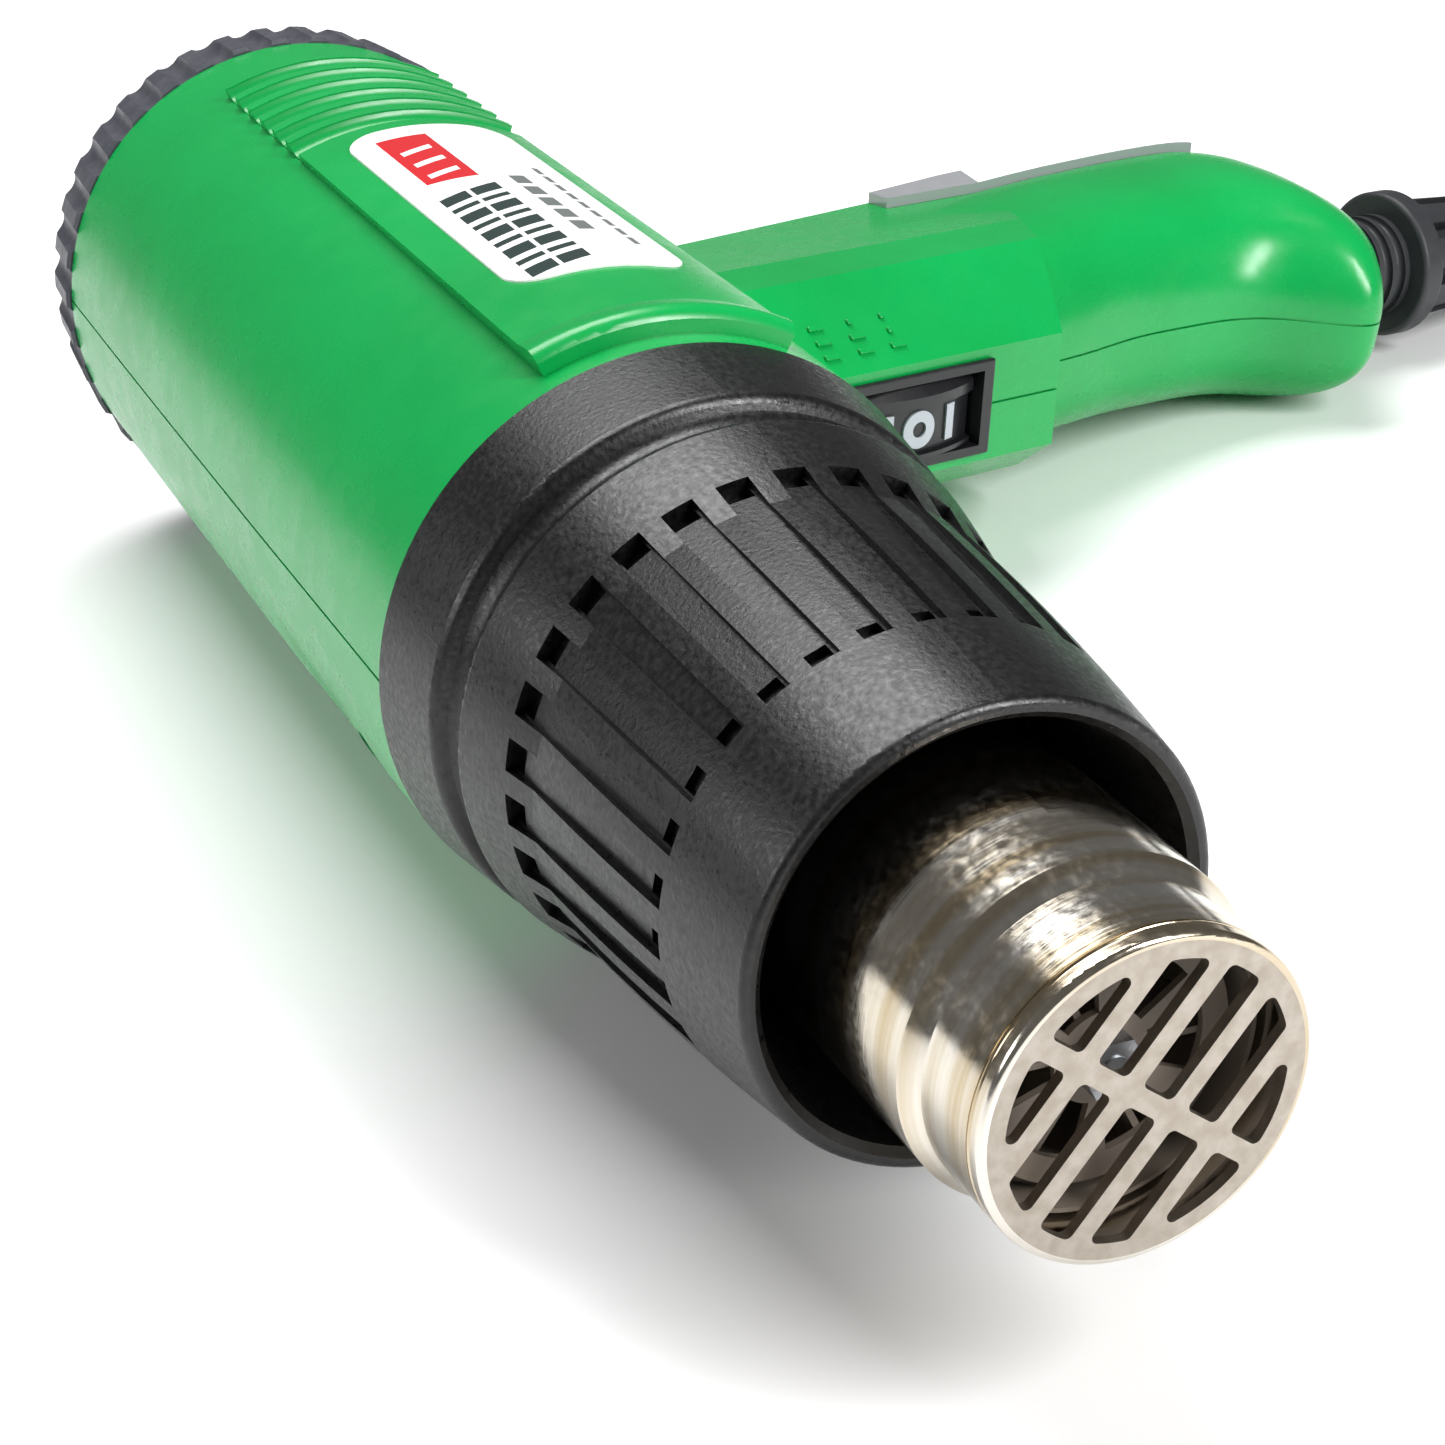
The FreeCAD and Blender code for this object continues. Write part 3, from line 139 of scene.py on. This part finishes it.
boot_end = from_gun(-207.553, 214.899, 0.0)
boot_ahead = from_gun(-210.893, 238.666, 0.0)
route = [tuple(boot_end / MM), tuple(boot_ahead / MM), (coil_x + 9.0, coil_y - 58.0, 3.8)]
shrink = math.cos(math.pi / STEPS_PER_TURN)
for step in range(turn_radii[-1][0] + 1):
    angle = math.radians(270 - 360 / STEPS_PER_TURN * step)
    radius = between(turn_radii, step) / shrink
    height = between(turn_heights, step)
    route.append((coil_x + radius * math.cos(angle), coil_y + radius * math.sin(angle), height))
for ahead, aside, height in ((25.0, 50.0, 8.6), (48.0, 39.0, 6.6), (66.0, 29.0, 6.6)):
    route.append((coil_x + ahead, coil_y + aside, height))

curve = bpy.data.curves.new("mains_cord", "CURVE")
curve.dimensions = "3D"
curve.bevel_depth = CORD_RADIUS
curve.bevel_resolution = 5
curve.resolution_u = 6
spline = curve.splines.new("NURBS")
spline.points.add(len(route) - 1)
for point, place_mm in zip(spline.points, route):
    point.co = (*(v * MM for v in place_mm), 1.0)
    point.radius = MM      # thickness is this times the bevel depth
spline.order_u = 3
spline.use_endpoint_u = True
cord = bpy.data.objects.new("mains_cord", curve)
bpy.context.scene.collection.objects.link(cord)
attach(cord, "gun")
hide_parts("power_cord", "cord_coil", "cord_tail")
print("cord has", len(route), "control points")

# %% [markdown]
# A finish is a node tree. One helper adds a node, sets it and links it,
# and another starts a finish from the Principled shader.
# All patterns sit on the gun's own coordinates, so they don't slide when a part moves.


# %% Helpers for finishes
def colour(hex_code):
    """sRGB hex to the linear colour that Blender works in."""
    out = []
    for start in (0, 2, 4):
        value = int(hex_code[start:start + 2], 16) / 255
        out.append(value / 12.92 if value <= 0.04045 else ((value + 0.055) / 1.055) ** 2.4)
    return (*out, 1.0)


def add(material, kind, inputs=None, **settings):
    """Adds one node; an input is given a value, or an output to link it to."""
    tree = material.node_tree
    node = tree.nodes.new(kind)
    for key, value in settings.items():
        setattr(node, key, value)
    for key, value in (inputs or {}).items():
        if isinstance(value, bpy.types.NodeSocket):
            tree.links.new(value, node.inputs[key])
        else:
            node.inputs[key].default_value = value
    return node


def finish(name, base, roughness, metallic=0.0, **sockets):
    """A new material with plain values on its shader."""
    material = bpy.data.materials.new(name)
    material.use_nodes = True
    shader = material.node_tree.nodes["Principled BSDF"]
    shader.inputs["Base Color"].default_value = colour(base)
    shader.inputs["Roughness"].default_value = roughness
    shader.inputs["Metallic"].default_value = metallic
    for key, value in sockets.items():
        shader.inputs[key.replace("_", " ")].default_value = value
    return material, shader


def gun_place(material):
    """Object coordinates with X along the barrel and Z on the gun's left, in metres from the outlet."""
    place = add(material, "ShaderNodeTexCoord")
    moved = add(material, "ShaderNodeVectorMath", {0: place.outputs["Object"], 1: outlet},
                operation="SUBTRACT")
    turned = add(material, "ShaderNodeMapping", {"Vector": moved.outputs[0], "Rotation": (roll, 0, 0)})
    return turned.outputs["Vector"]


def noise(material, place, size_mm, detail=3.0):
    """A noise whose lumps are about size_mm across."""
    node = add(material, "ShaderNodeTexNoise", {"Vector": place, "Scale": 1000 / size_mm, "Detail": detail})
    return node.outputs["Fac"]


def two_tone(material, shader, fac, dark, light, low=0.35, high=0.65):
    """Base colour that drifts between two close tones."""
    ramp = add(material, "ShaderNodeValToRGB", {"Fac": fac})
    for element, position, tone in zip(ramp.color_ramp.elements, (low, high), (dark, light)):
        element.position = position
        element.color = colour(tone)
    material.node_tree.links.new(ramp.outputs["Color"], shader.inputs["Base Color"])


def gloss(material, shader, fac, low, high):
    """Roughness that drifts between two values."""
    span = add(material, "ShaderNodeMapRange", {"Value": fac, "From Min": 0.3, "From Max": 0.7,
                                                "To Min": low, "To Max": high})
    material.node_tree.links.new(span.outputs["Result"], shader.inputs["Roughness"])


def relief(material, shader, fac, depth_mm, strength=1.0):
    """Bump of the given depth."""
    bump = add(material, "ShaderNodeBump", {"Height": fac, "Strength": strength, "Distance": depth_mm * MM})
    material.node_tree.links.new(bump.outputs["Normal"], shader.inputs["Normal"])


# %% [markdown]
# The two shells are glossy injection-moulded ABS: an even green, a very slight waviness, soft highlights.
# The collar is nylon with glass fibre, because it gets hot. It is nearly black, with the fine
# sparkling texture of a spark-eroded mould, drawn here at 0.6 mm so that it shows.
# The cap is grey polypropylene, duller than both.

# %% Green ABS, black nylon and the grey cap
green, shader = finish("moulded_abs_green", "009A48", 0.27, IOR=1.5)
place = gun_place(green)
two_tone(green, shader, noise(green, place, 30.0), "009443", "009F4B", 0.3, 0.7)
gloss(green, shader, noise(green, place, 5.0), 0.24, 0.32)
relief(green, shader, noise(green, place, 9.0, 1.0), 0.03, 0.12)

nylon, shader = finish("glass_filled_nylon_black", "070708", 0.36, IOR=1.5)
place = gun_place(nylon)
two_tone(nylon, shader, noise(nylon, place, 0.9), "040405", "0E0E10")
gloss(nylon, shader, noise(nylon, place, 0.8), 0.26, 0.46)
relief(nylon, shader, noise(nylon, place, 0.6, 4.0), 0.06, 0.8)

grey, shader = finish("moulded_polypropylene_grey", "43454E", 0.45)
place = gun_place(grey)
two_tone(grey, shader, noise(grey, place, 3.0), "3A3C46", "4A4B52")
gloss(grey, shader, noise(grey, place, 2.0), 0.38, 0.52)
relief(grey, shader, noise(grey, place, 0.7), 0.05, 0.5)
print("housing finishes:", green.name, nylon.name, grey.name)

# %% [markdown]
# The nickel tube is brushed round and round, so its noise is stretched along those turns.
# Its warm and light colour bands round the tube are painted reflection, standing in for the warm tints and bright
# bands that the nozzle reflects.

# %% Nickel-plated steel
nickel, shader = finish("nickel_plated_steel", "C9BFAE", 0.2, 1.0)
place = gun_place(nickel)
turns = add(nickel, "ShaderNodeMapping", {"Vector": place, "Scale": (1.0, 0.04, 0.04)}).outputs["Vector"]
# painted reflection: warm and light bands round the tube, in place of reflected tints and bands
two_tone(nickel, shader, noise(nickel, turns, 3.0, 5.0), "B8A88C", "D9D4CB", 0.38, 0.6)
gloss(nickel, shader, noise(nickel, place, 1.1, 4.0), 0.08, 0.2)
relief(nickel, shader, noise(nickel, turns, 0.4, 4.0), 0.02, 0.4)

satin, shader = finish("satin_nickel_plate", "A9A196", 0.4, 1.0)
place = gun_place(satin)
two_tone(satin, shader, noise(satin, place, 2.0), "A0978B", "B0A89E")
gloss(satin, shader, noise(satin, place, 1.5), 0.33, 0.45)
relief(satin, shader, noise(satin, place, 0.3), 0.015, 0.4)
print("metal finishes:", nickel.name, satin.name)

# %% [markdown]
# The label is a white film with simple printing: a red block with three white heat waves,
# a row of dark slanted bars and two thin grey lines. Each printed shape is a box in two
# coordinates: millimetres along the barrel, and millimetres round it. Masks need no picture file,
# and their edges stay sharp at any distance.

# %% Label film
label, shader = finish("printed_label_film", "F4F4F2", 0.2)
place = add(label, "ShaderNodeSeparateXYZ", {"Vector": gun_place(label)})


def sums(material, operation, a, b=0.0, c=0.0):
    return add(material, "ShaderNodeMath", {0: a, 1: b, 2: c}, operation=operation).outputs[0]


along = sums(label, "MULTIPLY", place.outputs["X"], 1000.0)
round_turn = sums(label, "ARCTAN2", place.outputs["Y"], place.outputs["Z"])
LABEL_RADIUS = 38.8    # millimetres from the barrel's axis to the film
SLANT = 0.35
around = sums(label, "MULTIPLY", round_turn, LABEL_RADIUS)
lean = sums(label, "MULTIPLY_ADD", around, SLANT, along)


def printed(boxes, across):
    """The sum of box masks (centre along, half length, centre round, half width)."""
    total = None
    for u, half_u, v, half_v in boxes:
        here = sums(label, "MULTIPLY", sums(label, "COMPARE", across, u, half_u),
                    sums(label, "COMPARE", around, v, half_v))
        total = here if total is None else sums(label, "MAXIMUM", total, here)
    return total


def ink_over(before, mask, ink):
    """Lays one ink over what is printed so far; before is a colour or an earlier layer."""
    mix = add(label, "ShaderNodeMix", data_type="RGBA")
    if isinstance(before, str):
        mix.inputs[6].default_value = colour(before)
    else:
        label.node_tree.links.new(before.outputs[2], mix.inputs[6])
    mix.inputs[7].default_value = colour(ink)
    label.node_tree.links.new(mask, mix.inputs[0])
    return mix


PAPER = "F4F4F2"
block = [(-178.5, 10.5, -4.6, 3.6)]
block_lines = [(-184.0 + 5.4 * k, 0.8, -4.6, 2.3) for k in range(3)]
thick_bars = [(-163.0 + 7.4 * k, 1.5, -4.6, 4.4) for k in range(5)]
thin_bars = [(-159.3 + 7.4 * k, 0.7, -4.6, 4.4) for k in range(4)]
gap = [(-147.0, 18.0, -4.6, 0.3)]
dashes = [(-165.0 + 5.2 * k, 1.9, 3.6, 1.1) for k in range(5)]
fine_dashes = [(-170.0 + 4.0 * k, 1.5, 8.0, 0.45) for k in range(9)]
red = ink_over(PAPER, printed(block, along), "C9252B")
lined = ink_over(red, printed(block_lines, lean), PAPER)
barred = ink_over(lined, printed(thick_bars + thin_bars, lean), "2B3A38")
split = ink_over(barred, printed(gap, along), PAPER)
small = ink_over(split, printed(dashes + fine_dashes, along), "6D7371")
label.node_tree.links.new(small.outputs[2], shader.inputs["Base Color"])
print("label has", len(label.node_tree.nodes), "nodes")

# %% [markdown]
# The smaller pieces share one pattern: a base colour, a roughness that drifts a little, and a fine relief.
# A loop makes them from a table of name, colour, roughness and metallic, because only those four differ.
# The last lines give every CAD piece the finish that its record names.

# %% Small finishes, and a finish on every piece
plain = {}
small_finishes = [
    ("black_plastic", "19191C", 0.36, 0.0), ("mark_print", "A9AEB5", 0.5, 0.0),
    # backstrap_elastomer: a nearly black glossy pad, given a light grey as painted reflection of the bright
    # surroundings
    ("backstrap_elastomer", "9C9EA1", 0.14, 0.0), ("cord_rubber", "2A2B2E", 0.5, 0.0),
    ("cord_tie", "101010", 0.5, 0.0), ("plug_plastic", "19191B", 0.42, 0.0),
    ("brass", "C9A860", 0.3, 1.0), ("mica", "80756A", 0.55, 0.0),
    ("resistance_wire", "DAD6CC", 0.2, 1.0), ("steel", "A9ABAE", 0.3, 1.0),
    ("ceramic", "D8D2C4", 0.6, 0.0), ("gasket_fibre", "C7C0AC", 0.9, 0.0),
    ("thermal_fuse", "BFC1C4", 0.3, 1.0), ("duct_plastic", "2A2A2C", 0.5, 0.0),
    ("magnet_ferrite", "2E2E30", 0.6, 0.0), ("copper", "B5683A", 0.3, 1.0),
    ("bronze", "96703F", 0.45, 1.0), ("carbon", "1C1C1C", 0.7, 0.0),
    ("brush_brass", "C9A860", 0.35, 1.0), ("board_laminate", "9A7434", 0.5, 0.0),
    ("diode_case", "181818", 0.4, 0.0), ("lead_pvc", "7C1D18", 0.45, 0.0),
]
for name, base, rough, metal in small_finishes:
    material, shader = finish(name, base, rough, metal)
    place = gun_place(material)
    gloss(material, shader, noise(material, place, 2.0), max(rough - 0.07, 0.05), rough + 0.07)
    relief(material, shader, noise(material, place, 0.5), 0.02, 0.4)
    plain[name] = material
plain.update({"green_abs": green, "black_nylon": nylon, "grey_plastic": grey, "nickel_steel": nickel,
              "label_film": label})
for node, piece in frame["nodes"].items():
    piece.data.materials.clear()
    piece.data.materials.append(plain[slot_of[node]])
frame["nodes"]["outlet_grille"].data.materials[0] = satin
cord.data.materials.append(plain["cord_rubber"])
print(len(plain), "finishes on", len(frame["nodes"]), "CAD pieces")

# %% [markdown]
# Small raised marks stand on the sloping face beside the switch: one, two and three bars
# for the three positions. Each bar starts as a cube, is stretched and turned to the face, and gets
# bevelled edges, because a moulded mark has no sharp corner. They are joined into one piece.

# %% Raised marks beside the switch
BOX_RAKE = 0.186               # how the switch box narrows towards its end
MARK_PITCH = 2.6               # millimetres between bars
MARK_WIDTH, MARK_DEPTH = 0.9, 0.8
LONG_BAR, SHORT_BAR = 2.6, 0.8
facet_out = Vector((0.549, 0.102, 0.829))
facet_along = Vector((-BOX_RAKE, 1.0, 0.0)).normalized()
facet_down = facet_out.cross(facet_along)
origin = from_gun(0, 0, 0)
columns = [from_gun(*step) - origin for step in ((1000, 0, 0), (0, 1000, 0), (0, 0, 1000))]
to_row = Matrix(columns).transposed()
marks = []
for long_bars, y in ((3, 48.6), (2, 54.5), (1, 60.2)):
    middle = from_gun(-164.0 - BOX_RAKE * (y - 54.0), y, 12.2)
    for bar in range(3):
        long = LONG_BAR if bar < long_bars else SHORT_BAR
        centre = middle + (to_row @ facet_down) * (bar - 1) * MARK_PITCH * MM
        bpy.ops.object.select_all(action="DESELECT")
        bpy.ops.mesh.primitive_cube_add(size=1.0, location=(0, 0, 0))
        mark = bpy.context.object
        axes = [to_row @ facet_along * long, to_row @ facet_down * MARK_WIDTH,
                to_row @ facet_out * MARK_DEPTH]
        shape = Matrix([axis * MM for axis in axes]).transposed().to_4x4()
        mark.data.transform(Matrix.Translation(centre) @ shape)
        edge = mark.modifiers.new("soft_edges", "BEVEL")
        edge.width = 0.18 * MM
        edge.segments = 2
        bpy.ops.object.modifier_apply(modifier=edge.name)
        mark.data.materials.append(green)
        mark.name = "switch_mark_%d" % len(marks)
        marks.append(mark)
bpy.ops.object.select_all(action="DESELECT")
for mark in marks:
    mark.select_set(True)
bpy.context.view_layer.objects.active = marks[0]
bpy.ops.object.join()
marks[0].name = "switch_marks"
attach(marks[0], "gun")
print("marks:", len(marks), "bars")

# %% [markdown]
# The table is matt white. A large softbox above lights the gun's left side, a strip in front
# draws the highlights on the nozzle and the collar, and a low one fills the handle.

# %% Table and lights
bpy.ops.object.select_all(action="DESELECT")
bpy.ops.mesh.primitive_plane_add(size=8.0, location=(0, 0, -0.0004))
table = bpy.context.object
table.name = "table"
paper, shader = finish("matt_white_table", "FAFAFA", 0.9)
table.data.materials.append(paper)

bpy.context.scene.view_settings.view_transform = "Standard"
world = bpy.data.worlds.new("studio")
bpy.context.scene.world = world
world.use_nodes = True
world.node_tree.nodes["Background"].inputs["Color"].default_value = colour("FFFFFF")
world.node_tree.nodes["Background"].inputs["Strength"].default_value = 0.16


def softbox(name, place, aim, width, height, power):
    bpy.ops.object.light_add(type="AREA", location=place)
    light = bpy.context.object
    light.name = name
    light.data.shape = "RECTANGLE"
    light.data.size = width
    light.data.size_y = height
    light.data.energy = power
    light.rotation_euler = (Vector(aim) - Vector(place)).to_track_quat("-Z", "Y").to_euler()


softbox("key_softbox", (-0.35, -0.05, 0.9), (0, -0.05, 0.03), 0.7, 0.55, 10.0)
softbox("front_strip", (0.55, 0.25, 0.45), (0.08, -0.09, 0.04), 0.12, 0.5, 6.0)
softbox("side_strip", (-0.1, -0.8, 0.35), (-0.05, 0, 0.03), 0.7, 0.2, 2.0)
